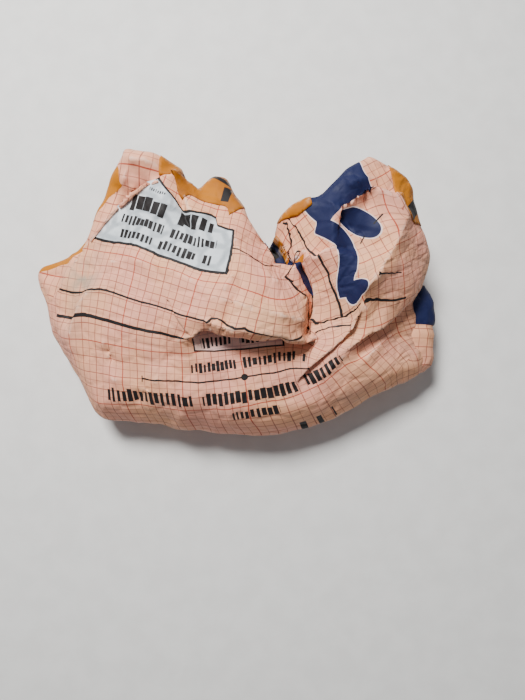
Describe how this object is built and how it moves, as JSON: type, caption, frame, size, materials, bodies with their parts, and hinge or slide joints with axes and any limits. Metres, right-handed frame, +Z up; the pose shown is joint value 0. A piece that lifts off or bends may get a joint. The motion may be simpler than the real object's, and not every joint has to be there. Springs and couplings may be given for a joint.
{
  "type": "finishing plaster bag",
  "caption": "Emptied block-bottom paper sack for finishing plaster, crumpled and lying flat, with a grid-printed face and a glued cover sheet over its folded bottom end.",
  "frame": {"origin": "middle of the sack's box, on the floor that it lies on", "axes": "+X across the sack from side fold to side fold, +Y towards the folded bottom end with its two horns, +Z up from the floor"},
  "size_m": [0.408, 0.272, 0.1339],
  "materials": {
    "printed_paper": "satin coated kraft paper, creased, printed with a ruled grid",
    "orange_paper": "satin coated kraft paper, creased, printed orange"
  },
  "bodies": {
    "root": {"paper_tube": "printed_paper", "bottom_cover_sheet": "orange_paper"}
  },
  "joints": []
}
